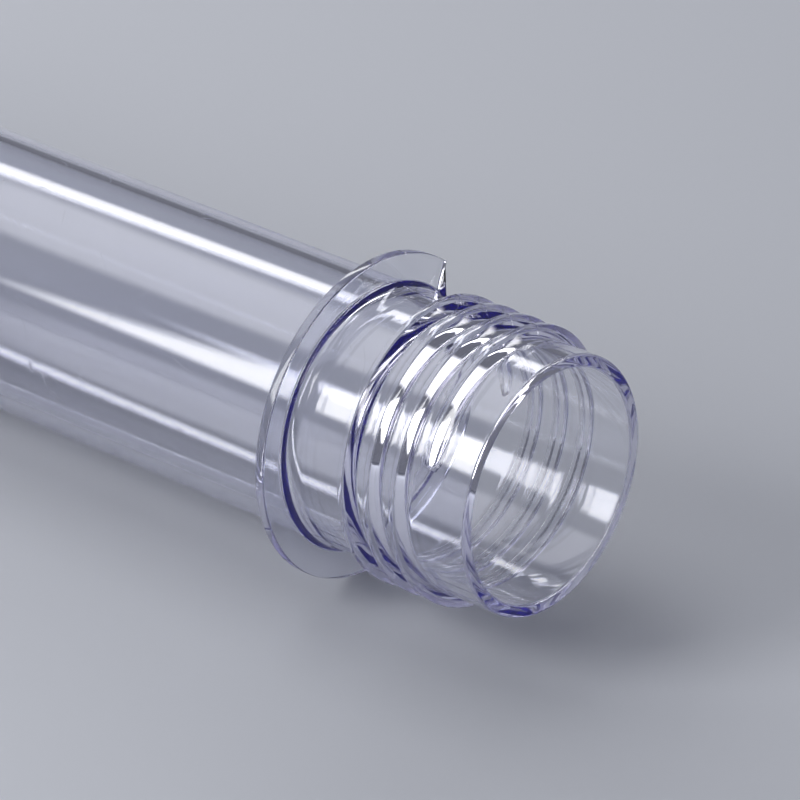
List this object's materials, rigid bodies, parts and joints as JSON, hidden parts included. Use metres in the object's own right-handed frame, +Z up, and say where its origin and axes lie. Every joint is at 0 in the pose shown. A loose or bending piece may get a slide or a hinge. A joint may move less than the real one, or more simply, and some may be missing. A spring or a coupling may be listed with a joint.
{
  "type": "plastic test tube",
  "caption": "Clear plastic test tube with a round bottom, a notched flange below its neck and a coarse screw thread, lying on its side.",
  "frame": {"origin": "on the ground, below the middle of the tube's bounding box", "axes": "+X along the tube towards its mouth, level; +Z up; the tube lies at rest, so its own axis points 1.73 degrees above +X"},
  "size_m": [0.1404, 0.0314, 0.0314],
  "materials": {
    "clear_plastic": "clear with a faint blue-violet tint, glossy"
  },
  "bodies": {
    "root": {"test_tube": "clear_plastic"}
  },
  "joints": []
}
